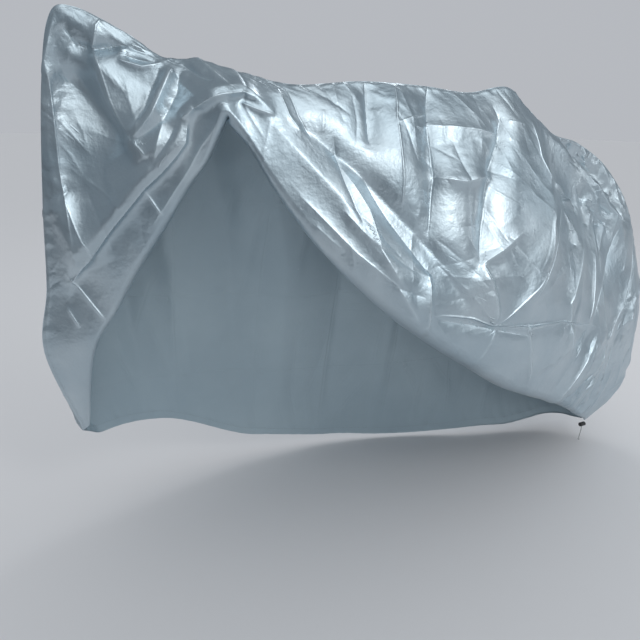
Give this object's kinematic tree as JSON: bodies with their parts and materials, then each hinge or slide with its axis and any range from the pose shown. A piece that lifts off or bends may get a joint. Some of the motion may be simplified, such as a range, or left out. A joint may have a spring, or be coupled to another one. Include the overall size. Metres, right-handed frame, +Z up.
{
  "type": "bicycle cover",
  "caption": "Fitted silver film cover draped over a bicycle, left side turned up inside and open, right side hanging to a hem near the ground.",
  "frame": {"origin": "the point under the cloth where the saddle holds the cover up", "axes": "+X towards the bicycle's rear, +Y towards its right side, +Z up"},
  "size_m": [1.7572, 0.5753, 1.159],
  "materials": {
    "silver_film": "satin metallic silver film, matte blue-grey inside",
    "black_plastic": "moulded black plastic",
    "grey_cord": "braided grey cord"
  },
  "bodies": {
    "root": {"left_panel": "silver_film", "right_panel": "silver_film", "cord_stop": "black_plastic", "drawcord_end": "grey_cord", "drawcord_knot": "grey_cord"}
  },
  "joints": []
}
